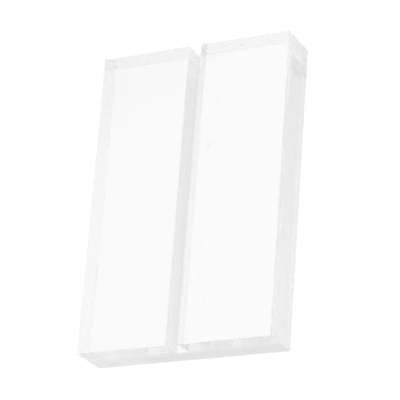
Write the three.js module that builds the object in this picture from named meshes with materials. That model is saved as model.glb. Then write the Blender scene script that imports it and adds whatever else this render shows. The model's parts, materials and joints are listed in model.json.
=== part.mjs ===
// Clear acrylic sign holder: a block with one slot that grips the lower edge of a thin sign.
// Millimetres, +X along the slot, +Y across it, +Z up. The origin is the centre of the underside.

import * as THREE from "three";

// Driving sizes of the block
const BLOCK_LENGTH = 76.8;
const BLOCK_WIDTH = 50;
const BLOCK_THICKNESS = 11;

// The slot takes a standard sheet with a little room, so that a sign slides in by hand
const SIGN_SHEET_THICKNESS = 3;
const SIGN_CLEARANCE = 0.2;
const SLOT_DEPTH = 5.75;

// Every outer edge and the mouth of the slot are eased by this much at 45 degrees
const EDGE_BREAK = 0.15;

const SLOT_WIDTH = SIGN_SHEET_THICKNESS + SIGN_CLEARANCE;

const clearAcrylic = new THREE.MeshStandardMaterial({
  name: "clear_cast_acrylic",
  color: 0xf5f7f7,
  roughness: 0.05,
  metalness: 0,
  transparent: true,
  opacity: 0.35,
});

// The block's cross-section as it is seen along the slot: x runs across the block and y runs up.
// The bottom corners of the slot stay sharp, as the cutter leaves them.
function slottedSection() {
  const side = BLOCK_WIDTH / 2;
  const wall = SLOT_WIDTH / 2;
  const slotFloor = BLOCK_THICKNESS - SLOT_DEPTH;
  const section = new THREE.Shape();
  section.moveTo(-side + EDGE_BREAK, 0);
  section.lineTo(side - EDGE_BREAK, 0);
  section.lineTo(side, EDGE_BREAK);
  section.lineTo(side, BLOCK_THICKNESS - EDGE_BREAK);
  section.lineTo(side - EDGE_BREAK, BLOCK_THICKNESS);
  section.lineTo(wall + EDGE_BREAK, BLOCK_THICKNESS);
  section.lineTo(wall, BLOCK_THICKNESS - EDGE_BREAK);
  section.lineTo(wall, slotFloor);
  section.lineTo(-wall, slotFloor);
  section.lineTo(-wall, BLOCK_THICKNESS - EDGE_BREAK);
  section.lineTo(-wall - EDGE_BREAK, BLOCK_THICKNESS);
  section.lineTo(-side + EDGE_BREAK, BLOCK_THICKNESS);
  section.lineTo(-side, BLOCK_THICKNESS - EDGE_BREAK);
  section.lineTo(-side, EDGE_BREAK);
  section.closePath();
  return section;
}

// The section runs the whole length. The bevel eases the edges of both ends, the slot's among
// them, and its offset keeps the section at its full size between the ends.
function makeSlottedBlock() {
  const geometry = new THREE.ExtrudeGeometry(slottedSection(), {
    depth: BLOCK_LENGTH - 2 * EDGE_BREAK,
    steps: 1,
    bevelEnabled: true,
    bevelSegments: 1,
    bevelThickness: EDGE_BREAK,
    bevelSize: EDGE_BREAK,
    bevelOffset: -EDGE_BREAK,
  });
  geometry.translate(0, 0, -geometry.parameters.options.depth / 2);
  geometry.rotateX(Math.PI / 2);
  geometry.rotateZ(Math.PI / 2);
  const block = new THREE.Mesh(geometry, clearAcrylic);
  block.name = "slotted_block";
  return block;
}

const signHolder = new THREE.Group();
signHolder.name = "sign_holder";
signHolder.add(makeSlottedBlock());

export default signHolder;
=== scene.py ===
"""Clear slotted block of a sign holder on a pale table, under plain soft studio light.

Metres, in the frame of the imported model: +X along the slot, +Y across it, +Z up, origin at the
centre of the underside. Every size of the block comes from that model.
"""
import json
import math

import bpy
from mathutils import Matrix, Vector


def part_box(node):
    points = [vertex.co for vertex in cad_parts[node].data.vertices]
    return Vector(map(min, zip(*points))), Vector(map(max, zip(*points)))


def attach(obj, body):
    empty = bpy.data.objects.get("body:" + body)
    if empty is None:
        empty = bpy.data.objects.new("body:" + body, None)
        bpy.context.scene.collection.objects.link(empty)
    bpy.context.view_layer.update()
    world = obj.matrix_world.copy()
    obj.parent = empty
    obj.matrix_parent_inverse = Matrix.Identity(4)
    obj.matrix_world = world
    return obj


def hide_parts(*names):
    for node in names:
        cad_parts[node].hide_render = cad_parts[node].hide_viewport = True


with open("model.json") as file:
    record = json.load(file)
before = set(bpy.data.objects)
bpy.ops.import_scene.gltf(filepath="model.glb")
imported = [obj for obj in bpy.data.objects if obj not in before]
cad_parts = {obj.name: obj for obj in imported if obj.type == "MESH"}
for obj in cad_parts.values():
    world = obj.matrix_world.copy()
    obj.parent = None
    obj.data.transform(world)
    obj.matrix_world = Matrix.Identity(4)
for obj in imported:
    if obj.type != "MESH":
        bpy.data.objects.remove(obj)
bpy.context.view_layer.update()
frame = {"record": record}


MM = 0.001

# Sizes of the block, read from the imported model: its box, and the faces of its slot
LOW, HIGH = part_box("slotted_block")
BLOCK_LENGTH = HIGH.x - LOW.x
BLOCK_WIDTH = HIGH.y - LOW.y
BLOCK_THICKNESS = HIGH.z - LOW.z
MOUNTS = {mount["name"]: Vector(mount["pos_m"]) for mount in frame["record"]["mounts"]}
SLOT_FLOOR = MOUNTS["slot_floor"].z
SLOT_WIDTH = MOUNTS["slot_wall_left"].y - MOUNTS["slot_wall_right"].y

# The edges are eased with a fine file: a small round in place of the cut corner
EDGE_ROUND = 0.015 * MM
EDGE_STEPS = 3
EDGE_ANGLE = math.radians(40)

# The cutter of the slot is this many times as long as the block, so that it runs out past both ends
CUTTER_OVERRUN = 1.5

# How the kinds of face are told apart. A face looks along an axis where more than this part of its normal
# does. The slot's faces lie nearer to the middle plane than this part of the slot's width, and between
# these parts of the block's thickness.
LOOKS_ALONG = 0.5
SLOT_REACH = 0.55
ABOVE_BOTTOM = 0.01
BELOW_TOP = 0.99

# Acrylic sheet usually has 1.49. This is matched to how far the inner images are shifted, and comes out
# higher.
REFRACTIVE_INDEX = 1.629

# Finishes: colour, and for the cut faces the clearness near and far and the range of the roughness.
# The wall is the slot's rougher side, the one that looks to +Y.
# The cast faces' faint grey is painted shade, for the shadow that the block casts on the paper under it
CAST_PAINTED_SHADE_COLOUR = "#f6f6f6"
NEAR_END_COLOUR = "#ffffff"
NEAR_END_CLEARNESS = (0.9486, 0.93)
FAR_END_COLOUR = "#eaeaea"
FAR_END_CLEARNESS = (0.921, 0.921)
END_GLOSS = (0.01, 0.03)
SIDE_COLOUR = "#ffffff"
SIDE_CLEARNESS = (0.9426, 0.8671)
SIDE_GLOSS = (0.03, 0.062)
SLOT_COLOUR = "#ffffff"
SLOT_CLEARNESS = (0.8336, 0.8872)
SLOT_GLOSS = (0.08, 0.0864)
WALL_COLOUR = "#ffffff"
WALL_CLEARNESS = (0.8672, 0.77)
WALL_GLOSS = (0.12, 0.1746)
FLOOR_COLOUR = "#ffffff"
FLOOR_CLEARNESS = (0.8249, 0.85)
FLOOR_GLOSS = (0.0, 0.01)

# Marks of the saw, as the length and the width that they are drawn with. The real ones are about 0.2 mm
# apart, too fine to show, so they are drawn coarser. They run along the block, and across its ends.
LONG_MARK_LENGTH = 83 * MM
LONG_MARK_WIDTH = 1.1 * MM
END_MARK_LENGTH = 25 * MM
END_MARK_WIDTH = 0.67 * MM
MARK_DEPTH = 0.12
MARK_DETAIL = 4.0
MARK_NOISE = (0.3, 0.75)

# Where the cut faces start to change towards the far end, and where they have changed
CHANGE_START = -20 * MM
CHANGE_FULL = BLOCK_LENGTH / 2

# Wipe marks on the cast faces: their size, the part of the noise that shows, and their roughness
WIPE_SIZE = 11 * MM
WIPE_DETAIL = 3.0
WIPE_NOISE = (0.45, 0.8)
WIPE_GLOSS = (0.0, 0.03)

# Stretches of the cut faces, as an axis, where each starts along it and from where it is full: the foot of
# the near end, that end left of the slot, far left of it and in a band right of it, the lower half of the
# slot's smoother side and the far end of the wall
FOOT = ("Z", 5.9 * MM, 4.7 * MM)
END_LEFT = ("Y", 3.0 * MM, 13.0 * MM)
END_FAR_LEFT = ("Y", 9.0 * MM, 14.0 * MM)
END_RIGHT = ("Y", -6.0 * MM, -7.0 * MM)
END_NOT_FAR_RIGHT = ("Y", -14.0 * MM, -13.5 * MM)
LOWER_SLOT = ("Z", SLOT_FLOOR + 3.0 * MM, SLOT_FLOOR + 2.0 * MM)
WALL_END = ("X", BLOCK_LENGTH / 2 - 2.4 * MM, BLOCK_LENGTH / 2 - 1.9 * MM)

# Parts that are made greyer and less clear: the share of the clearness that each loses, its colour and
# its stretches. On the near end and at the far end of the wall they are painted shade; on the slot's
# smoother side only the clearness drops.
# Painted shade on the near end: greyer, less clear stretches on its left part, its foot and a band right of
# the slot
NEAR_END_PAINTED_SHADE = (
    (0.45, "#f6f6f6", END_LEFT),
    (0.0, "#f8f8f8", END_RIGHT, END_NOT_FAR_RIGHT),
    (0.761, "#e6e6e6", FOOT),
    (0.0, "#ececec", FOOT, END_FAR_LEFT),
)
SLOT_DULL = ((0.057, "#ffffff", LOWER_SLOT),)
# Painted shade at the far end of the wall: a greyer, less clear stretch
WALL_END_PAINTED_SHADE = ((0.13, "#f3f3f3", WALL_END),)

# Faint smudges on the top: where they are, how far they reach and how much they take from the light
SMUDGES = (
    (11.0 * MM, -5.75 * MM, 1.5 * MM, 0.09),
    (14.1 * MM, -8.75 * MM, 1.6 * MM, 0.035),
    (-26.9 * MM, -2.4 * MM, 0.5 * MM, 0.12),
)

# Small nicks in the edges, as places and radii, and a row of them along the left bottom edge
NICK_COLOUR = "#c0c0c0"
NICK_ROUGHNESS = 0.5
NICK_CLEARNESS = 0.7
SINGLE_NICKS = (
    (BLOCK_LENGTH / 2, 5.25 * MM, BLOCK_THICKNESS, 0.34 * MM),
    (BLOCK_LENGTH / 2 - 1.8 * MM, -12.75 * MM, BLOCK_THICKNESS, 0.13 * MM),
    (BLOCK_LENGTH / 2 - 1.8 * MM, -12.2 * MM, BLOCK_THICKNESS, 0.1 * MM),
    (BLOCK_LENGTH / 2 - 2.6 * MM, -16.4 * MM, BLOCK_THICKNESS, 0.12 * MM),
    (-26.9 * MM, -SLOT_WIDTH / 2, BLOCK_THICKNESS, 0.18 * MM),
)
NICK_ROW_START = -20.6 * MM
NICK_ROW_END = -13.8 * MM
NICK_COUNT = 16
NICK_REACH = 0.7 * MM
NICK_RADII = (0.04 * MM, 0.09 * MM)
NICK_SEED = 5
NICK_SUBDIVISIONS = 2

# Camera of the photograph: where it looks, from where, how it is turned about its view line, its lens, and
# how near and how far it sees
CAMERA_TARGET = Vector((-0.285, -1.570, 5.5)) * MM
CAMERA_DISTANCE = 519.84 * MM
CAMERA_AZIMUTH = math.radians(-41.384)
CAMERA_ELEVATION = math.radians(54.540)
CAMERA_ROLL = math.radians(-49.930)
LENS_MM = 196.96
SENSOR_MM = 36
CLIP_START = 0.01
CLIP_END = 20.0

# How far the camera spreads a point, in pixels, and how often light may bounce on its way to it
SOFTNESS = 2.0
BOUNCES = 32

# The table is a sheet of white paper that glows brighter than the camera can show, with a painted shadow
# that makes it dimmer behind the block's far end and towards its left
TABLE_SIDE = 3.0
TABLE_DROP = 0.05 * MM
TABLE_GLOW = 1.06
SHADE_TOWARDS = Vector((0.94, 0.35, 0.0))
SHADE_START = 22 * MM
SHADE_FULL = 46 * MM
SHADE_DEPTH = 0.03
LEFT_SHADE_START = -2 * MM
LEFT_SHADE_FULL = 8 * MM
LEFT_SHADE_DEPTH = 0.009

# The studio's soft light: its level overhead, how it leans over the block, and its share at the horizon
SKY_LEVEL = 0.9384
SKY_LEAN = Vector((-0.1444, 0.0109, 0.0))
HORIZON_SHARE = 0.22
HORIZON_TOP = 0.6

# Where a mix node has its two colours among its inputs, and the mixed one among its outputs
MIX_FROM = 6
MIX_TO = 7
MIXED = 2


def linear(hex_colour):
    """An sRGB hex colour as linear red, green, blue and alpha."""
    def straighten(channel):
        if channel <= 0.04045:
            return channel / 12.92
        return ((channel + 0.055) / 1.055) ** 2.4

    channels = [int(hex_colour[i:i + 2], 16) / 255 for i in (1, 3, 5)]
    return (*map(straighten, channels), 1.0)


def span(from_min, from_max, to_min, to_max):
    """The constant inputs of a range node: from between the first two to between the other two."""
    return {"From Min": from_min, "From Max": from_max, "To Min": to_min, "To Max": to_max}


def add_node(tree, kind, links=None, settings=None, values=None):
    """Adds one node to a tree, with its settings, its constant inputs and the links into it."""
    node = tree.nodes.new(kind)
    for name, value in (settings or {}).items():
        setattr(node, name, value)
    for name, value in (values or {}).items():
        node.inputs[name].default_value = value
    for name, source in (links or {}).items():
        tree.links.new(source, node.inputs[name])
    return node


def new_material(name):
    """An empty node material with a Principled shader on its output."""
    material = bpy.data.materials.new(name)
    material.use_nodes = True
    tree = material.node_tree
    return material, tree, tree.nodes["Principled BSDF"]


def set_shader(shader, **sockets):
    """Puts constant values on a shader's own sockets; an underscore stands for a space."""
    for name, value in sockets.items():
        shader.inputs[name.replace("_", " ")].default_value = value


def block_tree(finishes):
    """Geometry Nodes for the block: a slab less one slot along its middle, each face in its own finish."""
    tree = bpy.data.node_groups.new("slotted block", "GeometryNodeTree")
    for name in ("Length", "Width", "Thickness", "Slot width", "Slot floor"):
        tree.interface.new_socket(name, in_out="INPUT", socket_type="NodeSocketFloat")
    tree.interface.new_socket("Geometry", in_out="OUTPUT", socket_type="NodeSocketGeometry")
    size = tree.nodes.new("NodeGroupInput").outputs

    def reckon(operation, a, b=0.0):
        """One arithmetic node on two numbers or sockets."""
        node = add_node(tree, "ShaderNodeMath", settings={"operation": operation})
        for socket, value in zip(node.inputs, (a, b)):
            if isinstance(value, (int, float)):
                socket.default_value = value
            else:
                tree.links.new(value, socket)
        return node.outputs[0]

    def slab(length, width, height, bottom):
        """A box of that size, centred on the Z axis, with its underside at the height of bottom."""
        middle = reckon("ADD", bottom, reckon("MULTIPLY", height, 0.5))
        sides = add_node(tree, "ShaderNodeCombineXYZ", {"X": length, "Y": width, "Z": height})
        cube = add_node(tree, "GeometryNodeMeshCube", {"Size": sides.outputs[0]})
        lift = add_node(tree, "ShaderNodeCombineXYZ", {"Z": middle})
        placed = add_node(
            tree, "GeometryNodeTransform", {"Geometry": cube.outputs[0], "Translation": lift.outputs[0]})
        return placed.outputs[0]

    body = slab(size["Length"], size["Width"], size["Thickness"], 0.0)
    # The cutter runs out past both ends and the top
    cutter_length = reckon("MULTIPLY", size["Length"], CUTTER_OVERRUN)
    cutter = slab(cutter_length, size["Slot width"], size["Thickness"], size["Slot floor"])
    cut = add_node(tree, "GeometryNodeMeshBoolean", settings={"operation": "DIFFERENCE", "solver": "EXACT"})
    tree.links.new(body, cut.inputs["Mesh 1"])
    tree.links.new(cutter, cut.inputs["Mesh 2"])

    # Which way a face looks, and how far it lies from the middle plane, say how it was made
    normal_vector = tree.nodes.new("GeometryNodeInputNormal").outputs[0]
    normal = add_node(tree, "ShaderNodeSeparateXYZ", {"Vector": normal_vector})
    place_vector = tree.nodes.new("GeometryNodeInputPosition").outputs[0]
    place = add_node(tree, "ShaderNodeSeparateXYZ", {"Vector": place_vector})
    looks_along = reckon("GREATER_THAN", reckon("ABSOLUTE", normal.outputs["X"]), LOOKS_ALONG)
    looks_across = reckon("GREATER_THAN", reckon("ABSOLUTE", normal.outputs["Y"]), LOOKS_ALONG)
    slot_reach = reckon("MULTIPLY", size["Slot width"], SLOT_REACH)
    near_middle = reckon("LESS_THAN", reckon("ABSOLUTE", place.outputs["Y"]), slot_reach)
    top_limit = reckon("MULTIPLY", size["Thickness"], BELOW_TOP)
    below_top = reckon("LESS_THAN", place.outputs["Z"], top_limit)
    bottom_limit = reckon("MULTIPLY", size["Thickness"], ABOVE_BOTTOM)
    above_bottom = reckon("GREATER_THAN", place.outputs["Z"], bottom_limit)
    in_slot = reckon("MULTIPLY", near_middle, reckon("MULTIPLY", below_top, above_bottom))
    in_slot = reckon("MULTIPLY", in_slot, reckon("SUBTRACT", 1.0, looks_along))
    on_wall = reckon("MULTIPLY", in_slot, reckon("GREATER_THAN", normal.outputs["Y"], LOOKS_ALONG))
    on_floor = reckon("MULTIPLY", in_slot, reckon("GREATER_THAN", normal.outputs["Z"], LOOKS_ALONG))
    looks_far = reckon("GREATER_THAN", normal.outputs["X"], LOOKS_ALONG)

    # Every face is dressed as cast first, and each later finish replaces it where it applies
    cast = add_node(
        tree, "GeometryNodeSetMaterial", {"Geometry": cut.outputs[0]}, values={"Material": finishes["cast"]})
    dressed = cast.outputs[0]
    where = {
        "near end": looks_along,
        "far end": looks_far,
        "sides": looks_across,
        "slot": in_slot,
        "wall": on_wall,
        "floor": on_floor,
    }
    for name, selection in where.items():
        dress = add_node(
            tree, "GeometryNodeSetMaterial", {"Geometry": dressed, "Selection": selection},
            values={"Material": finishes[name]})
        dressed = dress.outputs[0]
    whole = add_node(tree, "GeometryNodeRealizeInstances", {"Geometry": dressed})
    result = tree.nodes.new("NodeGroupOutput")
    tree.links.new(whole.outputs[0], result.inputs["Geometry"])
    return tree


def towards_far_end(tree, near_value, far_value):
    """A value that holds along the near part of the block and changes smoothly towards its far end."""
    place = add_node(tree, "ShaderNodeTexCoord").outputs["Object"]
    along = add_node(tree, "ShaderNodeSeparateXYZ", {"Vector": place}).outputs["X"]
    slide = add_node(
        tree, "ShaderNodeMapRange", {"Value": along}, {"interpolation_type": "SMOOTHERSTEP"},
        span(CHANGE_START, CHANGE_FULL, near_value, far_value))
    return slide.outputs[0]


def cast_faces():
    """Acrylic sheet as it was cast between glass plates: the top and the underside.

    It is flat and glossy, so the light goes straight through, with a few wipe marks and faint smudges. Its
    faint grey is painted shade, for the shadow that the block casts on the paper under it.
    """
    material, tree, shader = new_material("clear_sheet_cast_face")
    set_shader(shader, Transmission_Weight=1.0, IOR=REFRACTIVE_INDEX)
    place = add_node(tree, "ShaderNodeTexCoord").outputs["Object"]
    wipes = add_node(
        tree, "ShaderNodeTexNoise", {"Vector": place}, values={"Scale": 1 / WIPE_SIZE, "Detail": WIPE_DETAIL})
    gloss = add_node(
        tree, "ShaderNodeMapRange", {"Value": wipes.outputs["Fac"]},
        values=span(*WIPE_NOISE, *WIPE_GLOSS))
    tree.links.new(gloss.outputs[0], shader.inputs["Roughness"])
    # Each smudge dims the colour in a soft round spot
    light = None
    for x, y, reach, depth in SMUDGES:
        away = add_node(
            tree, "ShaderNodeVectorMath", {0: place}, {"operation": "DISTANCE"}, {1: (x, y, BLOCK_THICKNESS)})
        spot = add_node(
            tree, "ShaderNodeMapRange", {"Value": away.outputs["Value"]},
            {"interpolation_type": "SMOOTHSTEP"}, span(0.0, reach, 1 - depth, 1.0)).outputs[0]
        if light:
            spot = add_node(tree, "ShaderNodeMath", {0: light, 1: spot}, {"operation": "MULTIPLY"}).outputs[0]
        light = spot
    shaded = add_node(
        tree, "ShaderNodeVectorMath", {"Scale": light}, {"operation": "SCALE"}, {0: linear(CAST_PAINTED_SHADE_COLOUR)[:3]})
    tree.links.new(shaded.outputs[0], shader.inputs["Base Color"])
    return material


def part_amount(tree, place, stretches):
    """From none where one of the stretches hasn't started to all where every one of them is full."""
    along = add_node(tree, "ShaderNodeSeparateXYZ", {"Vector": place}).outputs
    amount = None
    for axis, start, full in stretches:
        slide = add_node(
            tree, "ShaderNodeMapRange", {"Value": along[axis]}, {"interpolation_type": "SMOOTHSTEP"},
            span(start, full, 0.0, 1.0)).outputs[0]
        if amount:
            slide = add_node(
                tree, "ShaderNodeMath", {0: amount, 1: slide}, {"operation": "MULTIPLY"}).outputs[0]
        amount = slide
    return amount


def cut_finish(name, colour, clearness, gloss_range, mark_size, shade_and_haze_parts=()):
    """A face of the sheet that was sawn and then buffed: clear, with faint streaks where the saw went.

    The clearness is given for the near and the far end, because the buffing is less even towards the far
    one. The given parts lose clearness and take their own colour, which on the near end and at the wall's
    far end is painted shade. Where two of them meet, the later one's colour shows.
    """
    material, tree, shader = new_material(name)
    set_shader(shader, Base_Color=linear(colour), IOR=REFRACTIVE_INDEX)
    place = add_node(tree, "ShaderNodeTexCoord").outputs["Object"]
    drawn = add_node(
        tree, "ShaderNodeMapping", {"Vector": place}, values={"Scale": [1 / size for size in mark_size]})
    marks = add_node(
        tree, "ShaderNodeTexNoise", {"Vector": drawn.outputs[0]},
        values={"Scale": 1.0, "Detail": MARK_DETAIL}).outputs["Fac"]
    uneven = add_node(
        tree, "ShaderNodeMapRange", {"Value": marks},
        values=span(0.0, 1.0, MARK_DEPTH / 2, -MARK_DEPTH / 2))
    slide = towards_far_end(tree, *clearness)
    clear = add_node(
        tree, "ShaderNodeMath", {0: slide, 1: uneven.outputs[0]}, {"operation": "ADD"}).outputs[0]
    tint = None
    # Parts that lose clearness and take a colour; on the near end and the wall's far end this is painted
    # shade
    for haze, part_colour, *stretches in shade_and_haze_parts:
        amount = part_amount(tree, place, stretches)
        kept = add_node(
            tree, "ShaderNodeMapRange", {"Value": amount}, values=span(0.0, 1.0, 1.0, 1 - haze)).outputs[0]
        clear = add_node(
            tree, "ShaderNodeMath", {0: clear, 1: kept}, {"operation": "MULTIPLY"}).outputs[0]
        mix = add_node(
            tree, "ShaderNodeMix", {0: amount}, {"data_type": "RGBA"},
            {MIX_FROM: linear(colour), MIX_TO: linear(part_colour)})
        if tint:
            tree.links.new(tint, mix.inputs[MIX_FROM])
        tint = mix.outputs[MIXED]
    if tint:
        tree.links.new(tint, shader.inputs["Base Color"])
    tree.links.new(clear, shader.inputs["Transmission Weight"])
    gloss = add_node(
        tree, "ShaderNodeMapRange", {"Value": marks},
        values=span(*MARK_NOISE, *gloss_range))
    tree.links.new(gloss.outputs[0], shader.inputs["Roughness"])
    return material


def chipped():
    """Acrylic that has chipped, with a little dirt in it: small nicks that look dull and grey."""
    material, _, shader = new_material("clear_sheet_chipped")
    set_shader(
        shader, Base_Color=linear(NICK_COLOUR), Roughness=NICK_ROUGHNESS,
        Transmission_Weight=NICK_CLEARNESS, IOR=REFRACTIVE_INDEX)
    return material


def nick_tree():
    """Geometry Nodes for the nicks: small balls taken out of the edges, some of them in a random row."""
    tree = bpy.data.node_groups.new("nicks", "GeometryNodeTree")
    tree.interface.new_socket("Geometry", in_out="INPUT", socket_type="NodeSocketGeometry")
    tree.interface.new_socket("Count", in_out="INPUT", socket_type="NodeSocketInt")
    tree.interface.new_socket("Seed", in_out="INPUT", socket_type="NodeSocketInt")
    tree.interface.new_socket("Geometry", in_out="OUTPUT", socket_type="NodeSocketGeometry")
    given = tree.nodes.new("NodeGroupInput").outputs
    ball = add_node(
        tree, "GeometryNodeMeshIcoSphere", values={"Radius": 1.0, "Subdivisions": NICK_SUBDIVISIONS})

    def random_value(kind, low, high, step):
        """A random number or vector for each point; the step keeps one value apart from another."""
        seed = add_node(tree, "ShaderNodeMath", {0: given["Seed"]}, {"operation": "ADD"}, {1: step})
        node = add_node(tree, "FunctionNodeRandomValue", settings={"data_type": kind})
        for socket in node.inputs:
            if socket.enabled and socket.name in ("Min", "Max"):
                socket.default_value = low if socket.name == "Min" else high
        tree.links.new(seed.outputs[0], node.inputs["Seed"])
        return next(output for output in node.outputs if output.enabled)

    row = add_node(tree, "GeometryNodePoints", {"Count": given["Count"]})
    low_corner = (NICK_ROW_START, BLOCK_WIDTH / 2 - NICK_REACH, 0.0)
    high_corner = (NICK_ROW_END, BLOCK_WIDTH / 2, NICK_RADII[0])
    tree.links.new(random_value("FLOAT_VECTOR", low_corner, high_corner, 0.0), row.inputs["Position"])
    tree.links.new(random_value("FLOAT", *NICK_RADII, 1.0), row.inputs["Radius"])
    join = tree.nodes.new("GeometryNodeJoinGeometry")
    tree.links.new(row.outputs[0], join.inputs[0])
    for x, y, z, radius in SINGLE_NICKS:
        single = add_node(tree, "GeometryNodePoints", values={"Position": (x, y, z), "Radius": radius})
        tree.links.new(single.outputs[0], join.inputs[0])
    radius_of_point = tree.nodes.new("GeometryNodeInputRadius").outputs[0]
    balls = add_node(
        tree, "GeometryNodeInstanceOnPoints",
        {"Points": join.outputs[0], "Instance": ball.outputs[0], "Scale": radius_of_point})
    loose = add_node(tree, "GeometryNodeRealizeInstances", {"Geometry": balls.outputs[0]})
    dressed = add_node(
        tree, "GeometryNodeSetMaterial", {"Geometry": loose.outputs[0]}, values={"Material": chipped()})
    # Balls of the row may overlap, which the cut has to be told
    cut = add_node(
        tree, "GeometryNodeMeshBoolean", {"Mesh 2": dressed.outputs[0]},
        {"operation": "DIFFERENCE", "solver": "EXACT"}, {"Self Intersection": True})
    tree.links.new(given["Geometry"], cut.inputs["Mesh 1"])
    whole = add_node(tree, "GeometryNodeRealizeInstances", {"Geometry": cut.outputs[0]})
    result = tree.nodes.new("NodeGroupOutput")
    tree.links.new(whole.outputs[0], result.inputs["Geometry"])
    return tree


def make_block():
    """The slotted block as one closed mesh, with its edges eased and nicked."""
    block = bpy.data.objects.new("slotted_block_clear", bpy.data.meshes.new("blank"))
    bpy.context.scene.collection.objects.link(block)
    along_block = (LONG_MARK_LENGTH, LONG_MARK_WIDTH, LONG_MARK_WIDTH)
    across_end = (END_MARK_LENGTH, END_MARK_LENGTH, END_MARK_WIDTH)
    finishes = {
        "cast": cast_faces(),
        # Sawn across and buffed to a gloss; its foot and its left part are dull and grey with painted shade
        "near end": cut_finish(
            "clear_sheet_sawn_near_end", NEAR_END_COLOUR, NEAR_END_CLEARNESS, END_GLOSS, across_end,
            NEAR_END_PAINTED_SHADE),
        # Sawn across and buffed in the same way all over, a little greyer
        "far end": cut_finish(
            "clear_sheet_sawn_far_end", FAR_END_COLOUR, FAR_END_CLEARNESS, END_GLOSS, across_end),
        # Sawn along and buffed: the images in it are soft, with long streaks
        "sides": cut_finish(
            "clear_sheet_sawn_side", SIDE_COLOUR, SIDE_CLEARNESS, SIDE_GLOSS, along_block),
        # Left by the side of the slotting saw, which no buff reaches well: a light haze, more of it low down
        "slot": cut_finish(
            "clear_sheet_sawn_slot", SLOT_COLOUR, SLOT_CLEARNESS, SLOT_GLOSS, along_block,
            SLOT_DULL),
        # The same, where the saw rubbed more: the haziest face, with painted shade that makes its far end
        # dull and grey
        "wall": cut_finish(
            "clear_sheet_sawn_wall", WALL_COLOUR, WALL_CLEARNESS, WALL_GLOSS, along_block,
            WALL_END_PAINTED_SHADE),
        # Left by the flat tips of the saw's teeth: glossy, with a light haze
        "floor": cut_finish(
            "clear_sheet_sawn_floor", FLOOR_COLOUR, FLOOR_CLEARNESS, FLOOR_GLOSS, along_block),
    }
    tree = block_tree(finishes)
    build = block.modifiers.new("build", "NODES")
    build.node_group = tree
    sizes = {
        "Length": BLOCK_LENGTH,
        "Width": BLOCK_WIDTH,
        "Thickness": BLOCK_THICKNESS,
        "Slot width": SLOT_WIDTH,
        "Slot floor": SLOT_FLOOR,
    }
    for item in tree.interface.items_tree:
        if item.name in sizes:
            build[item.identifier] = sizes[item.name]
    ease = block.modifiers.new("ease", "BEVEL")
    ease.width = EDGE_ROUND
    ease.segments = EDGE_STEPS
    ease.limit_method = "ANGLE"
    ease.angle_limit = EDGE_ANGLE
    nick = block.modifiers.new("nick", "NODES")
    nick.node_group = nick_tree()
    counts = {"Count": NICK_COUNT, "Seed": NICK_SEED}
    for item in nick.node_group.interface.items_tree:
        if item.name in counts:
            nick[item.identifier] = counts[item.name]
    view = bpy.context.evaluated_depsgraph_get()
    finished = bpy.data.meshes.new_from_object(block.evaluated_get(view))
    block.modifiers.clear()
    block.data = finished
    finished.name = "slotted_block_clear"
    return block


def lay_table():
    """A sheet of pale paper that glows so that it shows as pure white, with a painted shadow behind the
    block; the block rests on it.
    """
    half = TABLE_SIDE / 2
    corners = [(x, y, -TABLE_DROP) for x, y in ((-half, -half), (half, -half), (half, half), (-half, half))]
    mesh = bpy.data.meshes.new("table")
    mesh.from_pydata(corners, [], [(0, 1, 2, 3)])
    table = bpy.data.objects.new("table", mesh)
    bpy.context.scene.collection.objects.link(table)
    material, tree, shader = new_material("pale_paper_glowing_with_painted_shadow")
    set_shader(
        shader, Base_Color=linear("#000000"), Roughness=1.0, Specular_IOR_Level=0.0,
        Emission_Color=linear("#ffffff"))
    # The shadow behind the block and towards its left is painted into the paper's glow
    place = add_node(tree, "ShaderNodeTexCoord").outputs["Object"]
    behind = add_node(
        tree, "ShaderNodeVectorMath", {0: place}, {"operation": "DOT_PRODUCT"}, {1: SHADE_TOWARDS})
    shade = add_node(
        tree, "ShaderNodeMapRange", {"Value": behind.outputs["Value"]}, {"interpolation_type": "SMOOTHSTEP"},
        span(SHADE_START, SHADE_FULL, TABLE_GLOW, TABLE_GLOW * (1 - SHADE_DEPTH)))
    side = add_node(tree, "ShaderNodeSeparateXYZ", {"Vector": place}).outputs["Y"]
    left = add_node(
        tree, "ShaderNodeMapRange", {"Value": side}, {"interpolation_type": "SMOOTHSTEP"},
        span(LEFT_SHADE_START, LEFT_SHADE_FULL, 1.0, 1 - LEFT_SHADE_DEPTH))
    glow = add_node(
        tree, "ShaderNodeMath", {0: shade.outputs[0], 1: left.outputs[0]}, {"operation": "MULTIPLY"})
    tree.links.new(glow.outputs[0], shader.inputs["Emission Strength"])
    mesh.materials.append(material)


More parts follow.
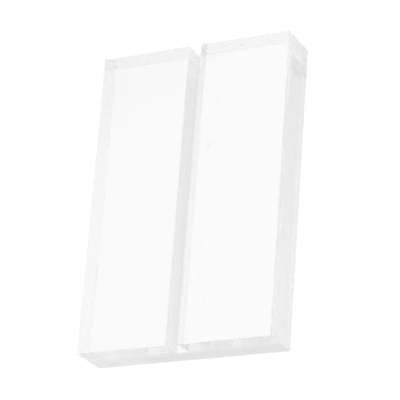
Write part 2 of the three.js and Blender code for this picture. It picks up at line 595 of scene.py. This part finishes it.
def light_studio():
    """Soft light from all round, a little brighter from one side and dimmer near the horizon."""
    world = bpy.data.worlds.new("studio")
    world.use_nodes = True
    tree = world.node_tree
    towards = add_node(tree, "ShaderNodeTexCoord").outputs["Generated"]
    lean = add_node(
        tree, "ShaderNodeVectorMath", {0: towards}, {"operation": "DOT_PRODUCT"}, {1: SKY_LEAN})
    level = add_node(tree, "ShaderNodeMath", {0: lean.outputs["Value"]}, {"operation": "ADD"}, {1: SKY_LEVEL})
    height = add_node(tree, "ShaderNodeSeparateXYZ", {"Vector": towards}).outputs["Z"]
    share = add_node(
        tree, "ShaderNodeMapRange", {"Value": height},
        values=span(0.0, HORIZON_TOP, HORIZON_SHARE, 1.0))
    glow = add_node(
        tree, "ShaderNodeMath", {0: level.outputs[0], 1: share.outputs[0]}, {"operation": "MULTIPLY"})
    background = tree.nodes["Background"]
    background.inputs["Color"].default_value = linear("#ffffff")
    tree.links.new(glow.outputs[0], background.inputs["Strength"])
    bpy.context.scene.world = world


def place_camera():
    """The photograph's camera."""
    back = Vector((
        math.sin(CAMERA_AZIMUTH) * math.cos(CAMERA_ELEVATION),
        -math.cos(CAMERA_AZIMUTH) * math.cos(CAMERA_ELEVATION),
        math.sin(CAMERA_ELEVATION)))
    turn = back.to_track_quat("Z", "Y").to_matrix().to_4x4() @ Matrix.Rotation(CAMERA_ROLL, 4, "Z")
    camera = bpy.data.objects.new("camera", bpy.data.cameras.new("camera"))
    camera.data.lens = LENS_MM
    camera.data.sensor_width = SENSOR_MM
    camera.data.clip_start = CLIP_START
    camera.data.clip_end = CLIP_END
    camera.matrix_world = Matrix.Translation(CAMERA_TARGET + CAMERA_DISTANCE * back) @ turn
    bpy.context.scene.collection.objects.link(camera)
    bpy.context.scene.camera = camera


def set_view():
    """Colours as they are, and enough bounces for light to run along inside the block."""
    scene = bpy.context.scene
    scene.view_settings.view_transform = "Standard"
    scene.cycles.max_bounces = BOUNCES
    scene.cycles.transmission_bounces = BOUNCES
    scene.cycles.glossy_bounces = BOUNCES
    scene.cycles.use_adaptive_sampling = False
    scene.cycles.filter_width = SOFTNESS


place_camera()
set_view()
light_studio()
lay_table()
block = make_block()
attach(block, "root")
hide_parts("slotted_block")
